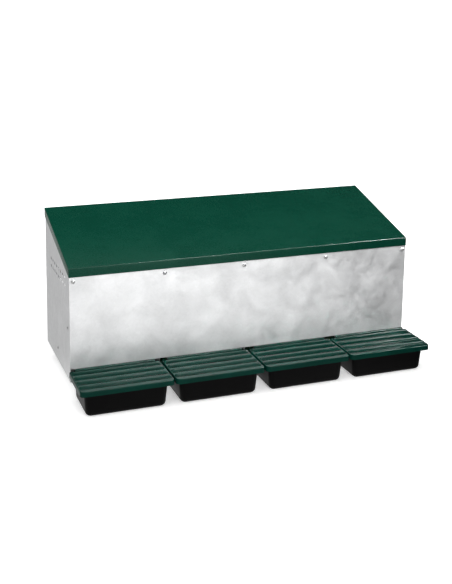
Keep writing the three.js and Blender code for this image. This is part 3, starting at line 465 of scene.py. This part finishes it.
def lid_mesh():
    """The first lid: plate with half-round ribs, rounded rim, skirt, and a hinge bead."""
    low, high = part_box("tray_lid_1")
    tray_low, tray_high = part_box("egg_tray_1")
    middle = (low.x + high.x) / 2
    half = (high.x - low.x) / 2
    top = high.z - PLATE_TO_BEAD_TOP
    under = top - LID_WALL
    axis_y, axis_z = high.y - BEAD_RADIUS, high.z - BEAD_RADIUS
    post = (tray_high.x - tray_low.x) / 2 + BEAD_PLAY
    bead_half = post - BEAD_PLAY - LID_WALL - BEAD_PLAY
    slot_y = axis_y - BEAD_RADIUS - BEAD_PLAY

    edges = [half - d * MM for d in LID_SIDE_COLUMNS] + [post, bead_half]
    edges += [half * 0.8, half * 0.6, half * 0.4, half * 0.2]
    edges = sorted({round(e, 6) for e in edges})
    columns = [-e for e in reversed(edges)] + [0.0] + edges
    rows = lid_rows(low, high)
    rows = sorted(set(rows) | {slot_y, axis_y})
    rows = [y for i, y in enumerate(rows) if i == 0 or y - rows[i - 1] > 0.1 * MM]

    def half_at(y):
        """Half the lid's width at y. It is less at the rounded corners."""
        radius = LID_CORNER if y < (low.y + high.y) / 2 else LID_REAR_CORNER
        near = min(y - low.y, high.y - y)
        if near >= radius:
            return half
        return half - radius + math.sqrt(max(radius**2 - (radius - near) ** 2, 0))

    def point(i, j):
        """The place of a grid point, with its column drawn in at the rounded corners."""
        return middle + columns[i] / half * half_at(rows[j]), rows[j]

    def rib(x, y):
        """Height of the ribs, and depth of their grooves, above the plate."""
        height = sum(rib_profile(y - crest) for crest in rib_crests(high.y))
        return height * rib_end(half - abs(x - middle))

    def top_z(i, j):
        x, y = point(i, j)
        inside = rounded_distance(x, y, low, high, LID_CORNER, LID_REAR_CORNER)
        drop = LID_EDGE - math.sqrt(max(LID_EDGE**2 - max(LID_EDGE - inside, 0) ** 2, 0))
        return top + rib(x, y) - drop

    def present(i, j):
        """False for the cells that are cut away behind the bead and round the tray's posts."""
        x = abs(columns[i] + columns[i + 1]) / 2
        y = (rows[j] + rows[j + 1]) / 2
        if y > axis_y and x < post:
            return False
        return not (y > slot_y and bead_half < x < post)

    def is_skirt(i, j):
        """True for the outermost cells, which go down to the lid's lower edge."""
        x = abs(columns[i] + columns[i + 1]) / 2
        y = (rows[j] + rows[j + 1]) / 2
        if y > high.y - LID_WALL and x < half - LID_REAR_CORNER - LID_WALL:
            return False
        return x > half - LID_WALL or y < low.y + LID_WALL or y > high.y - LID_WALL

    def bottom_z(i, j, skirt):
        if skirt:
            return low.z
        x, y = point(i, j)
        return under + max(rib(x, y), 0) * RIB_HOLLOW

    verts, faces, index = [], [], {}

    def vertex(i, j, z):
        """The number of the vertex at a grid point and height, drawn in a little towards the top."""
        x, y = point(i, j)
        lift = min(max((z - low.z) / (top - low.z), 0), 1)
        squeeze = 1 - LID_DRAFT / half * lift
        back = LID_DRAFT * lift * (high.y - y) / (high.y - low.y)
        key = (i, j, round(z, 7))
        if key not in index:
            index[key] = len(verts)
            verts.append((middle + (x - middle) * squeeze, y + back, z))
        return index[key]

    def wall(a, b, upper, lower):
        """A strip between two heights over the grid edge from a to b."""
        ids = []
        around = [(a, upper[0]), (b, upper[1]), (b, lower[1]), (a, lower[0])]
        for v in [vertex(*corner, z) for corner, z in around]:
            if v not in ids:
                ids.append(v)
        if len(ids) > 2:
            faces.append(tuple(ids))

    cells = {}
    for i in range(len(columns) - 1):
        for j in range(len(rows) - 1):
            if present(i, j):
                cells[i, j] = is_skirt(i, j)
    for (i, j), skirt in cells.items():
        corners = [(i, j), (i + 1, j), (i + 1, j + 1), (i, j + 1)]
        faces.append(tuple(vertex(*c, top_z(*c)) for c in corners))
        faces.append(tuple(vertex(*c, bottom_z(*c, skirt)) for c in reversed(corners)))
        neighbours = [((i, j - 1), 0, 1), ((i + 1, j), 1, 2), ((i, j + 1), 2, 3), ((i - 1, j), 3, 0)]
        for other, first, second in neighbours:
            a, b = corners[first], corners[second]
            own = [bottom_z(*a, skirt), bottom_z(*b, skirt)]
            if other not in cells:
                wall(a, b, [top_z(*a), top_z(*b)], own)
            elif skirt and not cells[other]:
                wall(a, b, [bottom_z(*a, False), bottom_z(*b, False)], own)
    lid = tidy_mesh(new_object("lid_shape", verts, faces), merge=0.000005)

    bead = hinge_bead((middle, axis_y, axis_z), bead_half, post - BEAD_PLAY - BEAD_GAP)
    return combine(lid, bead, "UNION")


# ------------------------------------------------------------------ egg trays

TRAY_WALL = 2.2 * MM
TRAY_TAPER = 5.5 * MM
TRAY_CORNER = 15 * MM
TRAY_REAR_CORNER = 5 * MM
TRAY_EDGE = 12 * MM
TRAY_RIM = 75.5 * MM
TRAY_REAR_WALL = 18 * MM  # height that is left of the rear wall
TRAY_REAR_INSET = 1 * MM  # rear wall in front of the posts' rear
WAY_MARGIN = 1 * MM
POST_FOOT = 10 * MM  # below the rim
POST_FOOT_INSET = 1.3 * MM
PIN_HOLE_RADIUS = 2.3 * MM


def tray_ring(low, high, z, inset):
    """One level of the tub, tapered in towards the ground, with rounded corners."""
    rise = z / TRAY_RIM
    taper = TRAY_TAPER * (1 - rise)
    x0, x1 = low.x + taper + inset, high.x - taper - inset
    y0, y1 = low.y + taper + inset, high.y - TRAY_REAR_INSET - inset
    corners = [
        (x1, y0, max(TRAY_CORNER - inset, TRAY_WALL), -90, -1, 1),
        (x1, y1, max(TRAY_REAR_CORNER - inset, TRAY_WALL), 0, -1, -1),
        (x0, y1, max(TRAY_REAR_CORNER - inset, TRAY_WALL), 90, 1, -1),
        (x0, y0, max(TRAY_CORNER - inset, TRAY_WALL), 180, 1, 1),
    ]
    ring = []
    steps = 10
    for cx, cy, radius, start, sx, sy in corners:
        for i in range(steps + 1):
            angle = math.radians(start + 90 * i / steps)
            x = cx + sx * radius + radius * math.cos(angle)
            y = cy + sy * radius + radius * math.sin(angle)
            ring.append((x, y, z))
    return ring


def tub_half(low, high, wall, base):
    """Rings from the middle of the base up to just under the rim."""
    rings = []
    radius = TRAY_EDGE - wall
    for extra in (60, 30, 8):
        rings.append(tray_ring(low, high, base, wall + radius + extra * MM))
    steps = 8
    for i in range(steps + 1):
        angle = i / steps * math.pi / 2
        level = base + radius * (1 - math.cos(angle))
        rings.append(tray_ring(low, high, level, wall + radius * (1 - math.sin(angle))))
    for share in (0.35, 0.6, 0.8):
        rings.append(tray_ring(low, high, base + radius + (TRAY_RIM - base - radius) * share, wall))
    return rings


def hinge_post(faces_x, axis_y, axis_z, rear):
    """A round-topped post in the tray's side wall, for one end of the lid's bead."""
    foot = TRAY_RIM - POST_FOOT
    outline = [(axis_y - BEAD_RADIUS, foot), (rear - POST_FOOT_INSET, foot), (rear, TRAY_RIM)]
    steps = 16
    for i in range(steps + 1):
        angle = math.pi * i / steps
        outline.append((axis_y + BEAD_RADIUS * math.cos(angle), axis_z + BEAD_RADIUS * math.sin(angle)))
    rings = [[(x, y, z) for y, z in outline] for x in faces_x]
    return round_edges(skinned("post", rings), 0.3 * MM, 2, 40)


def tray_mesh():
    """The first tray: one moulded tub with a rolled rim, an open rear, and two hinge posts."""
    low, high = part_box("egg_tray_1")
    axis_y = high.y - BEAD_RADIUS
    axis_z = high.z - BEAD_RADIUS
    soft = 0.8 * MM
    outer = tub_half(low, high, 0, 0)
    inner = tub_half(low, high, TRAY_WALL, TRAY_WALL)
    rim = [
        tray_ring(low, high, TRAY_RIM - soft, 0),
        tray_ring(low, high, TRAY_RIM - soft * 0.3, soft * 0.3),
        tray_ring(low, high, TRAY_RIM, soft),
        tray_ring(low, high, TRAY_RIM, TRAY_WALL - soft),
        tray_ring(low, high, TRAY_RIM - soft * 0.3, TRAY_WALL - soft * 0.3),
        tray_ring(low, high, TRAY_RIM - soft, TRAY_WALL),
    ]
    tub = skinned("tray_shape", outer + rim + list(reversed(inner)))
    middle = (low.x + high.x) / 2
    half = (high.x - low.x) / 2
    way_half = half - TRAY_TAPER - TRAY_REAR_CORNER - WAY_MARGIN
    way = box_mesh(
        "way",
        (middle - way_half, high.y - TRAY_REAR_INSET - 2 * TRAY_WALL, TRAY_REAR_WALL),
        (middle + way_half, high.y + 2 * MM, TRAY_RIM + 5 * MM),
    )
    combine(tub, way, "DIFFERENCE")
    for side in (-1, 1):
        faces_x = sorted((middle + side * (half - TRAY_WALL), middle + side * half))
        combine(tub, hinge_post(faces_x, axis_y, axis_z, high.y), "UNION")
    reach = half + 2 * MM
    profile = [(-reach, 0), (-reach, PIN_HOLE_RADIUS), (reach, PIN_HOLE_RADIUS), (reach, 0)]
    pin = turned("pin", profile, (middle, axis_y, axis_z), (1, 0, 0), 24)
    return combine(tub, pin, "DIFFERENCE")


# ------------------------------------------------------------------ roof

ROOF_SHEET = 1 * MM
ROOF_LIP = 24 * MM
ROOF_FRONT_Z = 360 * MM
FOLD_RADIUS = 1.8 * MM
FOLD_INSIDE = 0.45  # of the fold's outer radius
CUT_EDGE = 0.16  # of the fold's outer radius


def build_roof():
    """One folded sheet: sloping top, turned-down front and sides, open at the rear."""
    low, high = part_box("roof_panel")
    slope = (high.z - ROOF_FRONT_Z) / (high.y - low.y)
    thick = ROOF_SHEET * math.sqrt(1 + slope**2)

    def shell(inset, down):
        x0, x1 = low.x + inset, high.x - inset
        y0, y1 = low.y + inset, high.y
        top = [ROOF_FRONT_Z + slope * (y - low.y) - down for y in (y0, y1)]
        bottom = [ROOF_FRONT_Z + slope * (y - low.y) - ROOF_LIP for y in (y0, y1)]
        bottom[0] = low.z
        return [
            (x0, y0, top[0]), (x1, y0, top[0]), (x1, y1, top[1]), (x0, y1, top[1]),
            (x0, y0, bottom[0]), (x1, y0, bottom[0]), (x1, y1, bottom[1]), (x0, y1, bottom[1]),
        ]

    verts = shell(0, 0) + shell(ROOF_SHEET, thick)
    outer = [(0, 1, 2, 3), (4, 5, 1, 0), (7, 4, 0, 3), (5, 6, 2, 1)]
    inner = [tuple(v + 8 for v in reversed(face)) for face in outer]
    rims = [(4, 12, 13, 5), (7, 15, 12, 4), (5, 13, 14, 6)]
    rims += [(7, 3, 11, 15), (3, 2, 10, 11), (2, 6, 14, 10)]
    roof = tidy_mesh(new_object("roof_sheet", verts, outer + inner + rims))
    folds = {(0, 1), (0, 3), (1, 2), (0, 4), (1, 5)}
    weights = roof.data.attributes.new("bevel_weight_edge", "FLOAT", "EDGE")
    for edge in roof.data.edges:
        pair = tuple(sorted(edge.vertices))
        if pair in folds:
            weights.data[edge.index].value = 1.0
        elif tuple(v - 8 for v in pair) in folds:
            weights.data[edge.index].value = FOLD_INSIDE
        else:
            weights.data[edge.index].value = CUT_EDGE
    modifier = roof.modifiers.new("folds", "BEVEL")
    modifier.width = FOLD_RADIUS
    modifier.segments = 4
    modifier.limit_method = "WEIGHT"
    bake_modifiers(roof)
    as_piece(roof, "roof_panel", sharp=50)


# ------------------------------------------------------------------ screws and rivets

SCREW_COUNT = 5
SCREW_HEAD = 2.8 * MM
SCREW_SHANK = 2.1 * MM  # radius
SCREW_LENGTH = 4 * MM
SCREW_FLANK = 0.55  # lower is steeper
RECESS_LONG = 0.64  # of the head's radius
RECESS_SHORT = 0.19
RECESS_FLOOR = 0.30  # of the head's height
RIVET_HEAD = 1.5 * MM
RIVET_SHANK = 1.9 * MM  # radius
RIVET_LENGTH = 2 * MM
RIVET_STEM = 0.38  # of the head's radius


def screw_shape(radius, height):
    """A pan head with a cross recess, its face up the z axis, and a short shank."""
    rim = 0.3 * MM
    profile = [(-SCREW_LENGTH, 0), (-SCREW_LENGTH, SCREW_SHANK), (0, SCREW_SHANK)]
    profile += [(0, radius - 0.2 * MM), (rim, radius)]
    for i in range(1, 9):
        angle = i / 8 * math.pi / 2
        across = radius * math.cos(angle) ** SCREW_FLANK
        profile.append((rim + (height - rim) * math.sin(angle), across))
    head = turned("screw_shape", profile, (0, 0, 0), (0, 0, 1), 40)
    wide, narrow = RECESS_LONG * radius, RECESS_SHORT * radius
    for x, y in ((wide, narrow), (narrow, wide)):
        wing = box_mesh("wing", (-x, -y, height * RECESS_FLOOR), (x, y, height + 1 * MM))
        combine(head, wing, "DIFFERENCE")
    return head


def rivet_shape(radius, height):
    """A blind rivet: low domed flange, with the pulled stem's end in its middle."""
    stem = RIVET_STEM * radius
    rim = 0.2 * MM
    profile = [(-RIVET_LENGTH, 0), (-RIVET_LENGTH, RIVET_SHANK), (0, RIVET_SHANK)]
    profile += [(0, radius - 0.1 * MM), (rim, radius)]
    for share in (0.25, 0.5, 0.75, 1.0):
        across = radius + (stem * 1.25 - radius) * share
        profile.append((rim + (height - rim) * math.sin(share * math.pi / 2), across))
    profile += [(height * 0.45, stem * 1.1), (height * 0.40, stem)]
    profile += [(height * 0.75, stem * 0.85), (height * 0.8, 0)]
    return turned("rivet_shape", profile, (0, 0, 0), (0, 0, 1), 36)


def set_fastener(shape, name, node, foot, facing, spin):
    """A copy of a fastener with its head's underside at foot, facing out of the sheet."""
    turn = Vector((0, 0, 1)).rotation_difference(Vector(facing)).to_matrix().to_4x4()
    move = Matrix.Translation(foot) @ turn @ Matrix.Rotation(spin, 4, "Z")
    as_piece(copy_moved(shape, name, move), node, sharp=35)


def build_fasteners():
    chance = random.Random(5)
    low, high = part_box("front_screw_1")
    radius = (high.x - low.x) / 2
    screw = screw_shape(radius, SCREW_HEAD)
    for i in range(1, SCREW_COUNT + 1):
        for face, facing in (("front", (0, -1, 0)), ("rear", (0, 1, 0))):
            node = f"{face}_screw_{i}"
            low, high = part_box(node)
            foot = (low + high) / 2
            foot.y = low.y + SCREW_HEAD if face == "front" else high.y - SCREW_HEAD
            set_fastener(screw, f"{face}_pan_screw_{i}", node, foot, facing, chance.uniform(0, 3))
    bpy.data.objects.remove(screw)
    low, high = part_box("tab_rivet_left")
    rivet = rivet_shape((high.z - low.z) / 2, RIVET_HEAD)
    for kind in ("tab", "floor"):
        for side, facing in (("left", (-1, 0, 0)), ("right", (1, 0, 0))):
            node = f"{kind}_rivet_{side}"
            low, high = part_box(node)
            foot = (low + high) / 2
            foot.x = low.x + RIVET_HEAD if side == "left" else high.x - RIVET_HEAD
            set_fastener(rivet, f"{kind}_blind_rivet_{side}", node, foot, facing, 0)
    bpy.data.objects.remove(rivet)


# ------------------------------------------------------------------ nest mats

TUFT_PITCH = 6.5 * MM
TUFT_BLADES = 3
MAT_BACKING = 3 * MM
MAT_THICK = 9.7 * MM
MAT_MARGIN = 5 * MM
BLADE_SUNK = 0.4 * MM
BLADE_RADIUS = 0.75 * MM
BLADE_SPREAD = 0.8 * MM


def build_mats():
    """Turf mats: a thin backing sheet with short tapered blades in leaning tufts."""
    for n in range(1, NESTS + 1):
        node = f"nest_mat_{n}"
        low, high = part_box(node)
        chance = random.Random(100 + n)
        slope = (high.z - MAT_THICK - low.z) / (high.y - low.y)
        x0, x1, y0, y1 = low.x, high.x, low.y, high.y
        mat = box_mesh(f"turf_mat_{n}", (x0, y0, 0), (x1, y1, MAT_BACKING))
        for v in mat.data.vertices:
            v.co.z += low.z + slope * (v.co.y - low.y)
        round_edges(mat, 0.6 * MM, 2)
        verts = [tuple(v.co) for v in mat.data.vertices]
        faces = [tuple(p.vertices) for p in mat.data.polygons]
        across = int((x1 - x0 - 2 * MAT_MARGIN) / TUFT_PITCH)
        along = int((y1 - y0 - 2 * MAT_MARGIN) / TUFT_PITCH)
        for i in range(across + 1):
            for j in range(along + 1):
                cx = x0 + MAT_MARGIN + i * (x1 - x0 - 2 * MAT_MARGIN) / across + chance.uniform(-1, 1) * MM
                cy = y0 + MAT_MARGIN + j * (y1 - y0 - 2 * MAT_MARGIN) / along + chance.uniform(-1, 1) * MM
                foot = low.z + slope * (cy - low.y) + MAT_BACKING - BLADE_SUNK
                for _ in range(TUFT_BLADES):
                    add_blade(verts, faces, chance, cx, cy, foot, MAT_THICK - MAT_BACKING)
        old = mat.data
        mat.data = bpy.data.meshes.new(mat.name)
        mat.data.from_pydata(verts, [], faces)
        bpy.data.meshes.remove(old)
        as_piece(mat, node, sharp=45)


def add_blade(verts, faces, chance, cx, cy, z, height):
    """One closed three-sided blade, leaning a little outwards."""
    angle = chance.uniform(0, 2 * math.pi)
    lean = chance.uniform(0.8, 3.0) * MM
    tall = height * chance.uniform(0.72, 0.98)
    x = cx + BLADE_SPREAD * math.cos(angle)
    y = cy + BLADE_SPREAD * math.sin(angle)
    start = len(verts)
    for k in range(3):
        turn = angle + 2 * math.pi * k / 3
        verts.append((x + BLADE_RADIUS * math.cos(turn), y + BLADE_RADIUS * math.sin(turn), z))
    verts.append((x + lean * math.cos(angle), y + lean * math.sin(angle), z + tall))
    faces.append((start + 2, start + 1, start))
    for k in range(3):
        faces.append((start + k, start + (k + 1) % 3, start + 3))


# ------------------------------------------------------------------ perch, entrances

PERCH_END_RADIUS = 2.5 * MM
PERCH_UNEVEN = 0.12 * MM


def build_perch_rod():
    """A turned rod with rounded ends, very slightly uneven along its length."""
    low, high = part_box("perch_rod")
    radius = (high.z - low.z) / 2
    half = (high.x - low.x) / 2
    soft = PERCH_END_RADIUS
    ends = [(half, 0)]
    for i in range(7):
        angle = i / 6 * math.pi / 2
        ends.append((half - soft + soft * math.cos(angle), radius - soft + soft * math.sin(angle)))
    profile = [(-a, r) for a, r in ends]
    steps = 24
    for i in range(1, steps):
        along = (half - soft) * (2 * i / steps - 1)
        profile.append((along, radius - PERCH_UNEVEN * (1 + math.sin(i * 1.9)) / 2))
    profile += [(a, r) for a, r in reversed(ends)]
    rod = turned("perch_dowel", profile, (low + high) / 2, (1, 0, 0), 48)
    as_piece(rod, "perch_rod", sharp=40)


ENTRANCE_HALF = 95 * MM
ENTRANCE_BOTTOM = 122 * MM
ENTRANCE_TOP = 350 * MM
ENTRANCE_CORNER = 70 * MM
ENTRANCE_FOOT_CORNER = 6 * MM
ROLLED_EDGE = 1.7 * MM
ROLL_SIDES = 12


def arch_path(middle):
    """Round one way in from its lower left corner, as points across and up."""
    path = [(middle - ENTRANCE_HALF, ENTRANCE_BOTTOM), (middle + ENTRANCE_HALF, ENTRANCE_BOTTOM)]
    for side, start in ((1, 0), (-1, 90)):
        cx = middle + side * (ENTRANCE_HALF - ENTRANCE_CORNER)
        cz = ENTRANCE_TOP - ENTRANCE_CORNER
        for i in range(13):
            angle = math.radians(start + 90 * i / 12)
            path.append((cx + ENTRANCE_CORNER * math.cos(angle), cz + ENTRANCE_CORNER * math.sin(angle)))
    return soften_corners(path, ENTRANCE_FOOT_CORNER)


def rolled_edge(name, path, y):
    """A round bead along a closed upright path that stands at y."""
    verts, faces = [], []
    count = len(path)
    for k in range(count):
        before, here, after = Vector(path[k - 1]), Vector(path[k]), Vector(path[(k + 1) % count])
        along = (after - before).normalized()
        out = Vector((along.y, -along.x))
        ring, next_ring = k * ROLL_SIDES, (k + 1) % count * ROLL_SIDES
        for side in range(ROLL_SIDES):
            angle = 2 * math.pi * side / ROLL_SIDES
            offset = ROLLED_EDGE * math.cos(angle)
            depth = ROLLED_EDGE * math.sin(angle)
            verts.append((here.x + out.x * offset, y + depth, here.y + out.y * offset))
            next_side = (side + 1) % ROLL_SIDES
            faces.append((ring + side, ring + next_side, next_ring + next_side, next_ring + side))
    return tidy_mesh(new_object(name, verts, faces))


def build_entrance_edges():
    """The sheet is rolled over all round each arch, so that no cut edge faces a hen."""
    low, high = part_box("entrance_panel")
    for n in range(NESTS):
        middle = low.x + (high.x - low.x) * (n + 0.5) / NESTS
        edge = rolled_edge(f"entrance_rolled_edge_{n + 1}", arch_path(middle), (low.y + high.y) / 2)
        as_piece(edge, slot="galvanised_sheet", body="nest_body", sharp=60)


def soften_corners(path, radius):
    """The first two points of a path are square corners; each becomes a small arc."""
    left, right = path[0], path[1]
    softened = []
    for (cx, cz), start in ((left, 180), (right, 270)):
        ox = cx + radius if start == 180 else cx - radius
        for i in range(6):
            angle = math.radians(start + 90 * i / 5)
            softened.append((ox + radius * math.cos(angle), cz + radius + radius * math.sin(angle)))
    return softened + path[2:]


# ------------------------------------------------------------------ CAD nodes that stay

BROKEN_EDGE = 0.28 * MM


def dress_cad_nodes():
    """Sheets and fittings whose solids are right keep them, with broken edges and materials."""
    for name, obj in frame["nodes"].items():
        if obj.hide_render:
            continue
        obj.data.materials.clear()
        obj.data.materials.append(MATERIALS[SLOT_OF[name]])
        modifier = obj.modifiers.new("broken_edges", "BEVEL")
        modifier.width = BROKEN_EDGE
        modifier.segments = 2
        modifier.limit_method = "ANGLE"
        modifier.angle_limit = math.radians(32)
        modifier.harden_normals = True


# ------------------------------------------------------------------ floor, light and camera


FLOOR_HALF = 60
# A floor value goes from the first number to the second between the two places that follow, in metres. The
# values are strengths of the floor's glow, which is painted light: for the camera it is brighter away from
# the middle; for reflections and bounce it falls off to the right, is brighter towards the trays, and has
# painted shade behind them.
FLOOR_GLOW = (0.45, 0.90, 0.55, 1.6)  # seen, outwards from the middle
FLOOR_ACROSS = (0.86, 0.05, 0.30, 0.66)  # mirrored, from left to right
FLOOR_TOWARDS = (1.0, 1.35, -1.3, -0.3)  # mirrored, from the front towards the trays
FLOOR_BEHIND = (1.0, 0.60, -0.15, 0.2)  # mirrored, from the trays to the rear
FLOOR_BOUNCE = 0.30  # the share of what is mirrored that lights the other pieces
BACKDROP = 0.50
CEILING = 0.03
BACKDROP_EDGE = (0.05, 0.3)  # sine of the height at which the backdrop turns into the ceiling


def build_floor():
    """A pale table that glows with painted light. Reflections see it fall off towards the right, as under
    a light from the left.
    """
    corners = [(FLOOR_HALF * x, FLOOR_HALF * y, 0) for x, y in ((-1, -1), (1, -1), (1, 1), (-1, 1))]
    floor = new_object("floor", corners, [(0, 1, 2, 3)])
    s = Surface("pale_floor", Base_Color=(0.9, 0.9, 0.9, 1), Roughness=0.9, Specular_IOR_Level=0.0)
    s.shader.inputs["Emission Color"].default_value = (1, 1, 1, 1)
    reach = s.node("ShaderNodeVectorMath", {0: s.place}, operation="LENGTH").outputs["Value"]
    s.feed(Emission_Strength=s.span(reach, *FLOOR_GLOW))
    axes = s.node("ShaderNodeSeparateXYZ", {0: s.place})
    rays = s.node("ShaderNodeLightPath", {}).outputs
    # Painted light in the floor's glow for reflections and bounce: it falls off to the right, with painted
    # shade behind the trays.
    across = s.span(axes.outputs["X"], *FLOOR_ACROSS)
    towards = s.span(axes.outputs["Y"], *FLOOR_TOWARDS)
    behind = s.span(axes.outputs["Y"], *FLOOR_BEHIND)
    falloff = s.maths("MULTIPLY", across, s.maths("MULTIPLY", towards, behind))
    bounce = s.span(rays["Is Diffuse Ray"], 1.0, FLOOR_BOUNCE, 0.0, 1.0)
    mirrored = s.node("ShaderNodeEmission", {"Strength": s.maths("MULTIPLY", falloff, bounce)})
    inputs = {0: rays["Is Camera Ray"], 1: mirrored.outputs[0], 2: s.shader.outputs[0]}
    mixed = s.node("ShaderNodeMixShader", inputs)
    output = next(node for node in s.tree.nodes if node.type == "OUTPUT_MATERIAL")
    s.tree.links.new(mixed.outputs[0], output.inputs["Surface"])
    floor.data.materials.append(s.material)


def area_light(name, place, target, width, height, power):
    light = bpy.data.lights.new(name, "AREA")
    light.shape = "RECTANGLE"
    light.size, light.size_y = width, height
    light.energy = power
    obj = bpy.data.objects.new(name, light)
    obj.location = place
    obj.rotation_mode = "QUATERNION"
    obj.rotation_quaternion = (Vector(target) - Vector(place)).to_track_quat("-Z", "Y")
    bpy.context.scene.collection.objects.link(obj)
    return obj


def build_lights():
    """A wide overhead light, soft boxes from the left and the front, and two strips for highlights."""
    sun = bpy.data.lights.new("overhead", "SUN")
    sun.energy = 2.6
    sun.angle = math.radians(75)
    overhead = bpy.data.objects.new("overhead", sun)
    overhead.rotation_mode = "QUATERNION"
    overhead.rotation_quaternion = Vector((0.10, 0.15, -1.0)).to_track_quat("-Z", "Y")
    bpy.context.scene.collection.objects.link(overhead)
    area_light("left_softbox", (-2.2, -0.9, 1.3), (-0.4, 0.0, 0.2), 1.0, 1.0, 5)
    fill = area_light("front_fill", (0.0, -2.3, 0.9), (0.0, 0.0, 0.2), 1.2, 1.0, 18)
    fill.visible_glossy = False
    mirrored = [
        area_light("key_softbox", (0.45, -2.3, 0.80), (0.0, 0.0, 0.2), 1.2, 0.8, 30),
        area_light("highlight_left", (0.30, -0.85, 1.85), (-0.2, -0.18, 0.1), 0.8, 0.22, 55),
        area_light("highlight_right", (1.60, -0.83, 1.85), (0.45, -0.18, 0.1), 0.6, 0.22, 190),
    ]
    for light in mirrored:
        light.visible_diffuse = False


def build_world():
    """Reflections see a grey backdrop near the horizon under a dark ceiling. The camera sees white."""
    world = bpy.data.worlds.new("studio")
    bpy.context.scene.world = world
    world.use_nodes = True
    tree = world.node_tree
    tree.nodes.clear()
    make = tree.nodes.new
    output = make("ShaderNodeOutputWorld")
    mix = make("ShaderNodeMixShader")
    rays = make("ShaderNodeLightPath")
    seen = make("ShaderNodeBackground")
    mirrored = make("ShaderNodeBackground")
    place = make("ShaderNodeTexCoord")
    axes = make("ShaderNodeSeparateXYZ")
    fade = make("ShaderNodeMapRange")
    fade.inputs["From Min"].default_value = BACKDROP_EDGE[0]
    fade.inputs["From Max"].default_value = BACKDROP_EDGE[1]
    fade.inputs["To Min"].default_value = BACKDROP
    fade.inputs["To Max"].default_value = CEILING
    link = tree.links.new
    link(place.outputs["Generated"], axes.inputs[0])
    link(axes.outputs["Z"], fade.inputs["Value"])
    link(fade.outputs[0], mirrored.inputs["Strength"])
    link(rays.outputs["Is Camera Ray"], mix.inputs["Fac"])
    link(mirrored.outputs[0], mix.inputs[1])
    link(seen.outputs[0], mix.inputs[2])
    link(mix.outputs[0], output.inputs["Surface"])
    for background in (seen, mirrored):
        background.inputs["Color"].default_value = (1, 1, 1, 1)


# The camera's place from the body's front left corner, and two of its axes.
CAMERA_STAND = Vector((-0.5146, -2.4899, 1.1494))
CAMERA_RIGHT = Vector((0.9357, -0.3525, 0.0141))
CAMERA_BACK = Vector((-0.3490, -0.9189, 0.1838))
CAMERA_LENS = 62.12
CAMERA_SENSOR = 36
CAMERA_SHIFT = -0.2432


def build_camera():
    """In front, to the left and above, looking a little down, with the frame shifted further down."""
    data = bpy.data.cameras.new("camera")
    data.lens = CAMERA_LENS
    data.sensor_width = CAMERA_SENSOR
    data.shift_y = CAMERA_SHIFT
    camera = bpy.data.objects.new("camera", data)
    back = CAMERA_BACK.normalized()
    right = (CAMERA_RIGHT - back * CAMERA_RIGHT.dot(back)).normalized()
    up = back.cross(right)
    corner = Vector((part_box("left_side_panel")[0].x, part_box("front_panel")[0].y, 0))
    facing = Matrix((right, up, back)).transposed().to_4x4()
    camera.matrix_world = Matrix.Translation(corner + CAMERA_STAND) @ facing
    bpy.context.scene.collection.objects.link(camera)
    bpy.context.scene.camera = camera


build_camera()
build_world()
build_lights()
build_floor()
place_copies(lid_mesh(), "tray_lid", "lid")
place_copies(tray_mesh(), "egg_tray", "tray")
build_roof()
build_fasteners()
build_mats()
build_perch_rod()
build_entrance_edges()
dress_cad_nodes()

bpy.context.scene.view_settings.view_transform = "Standard"
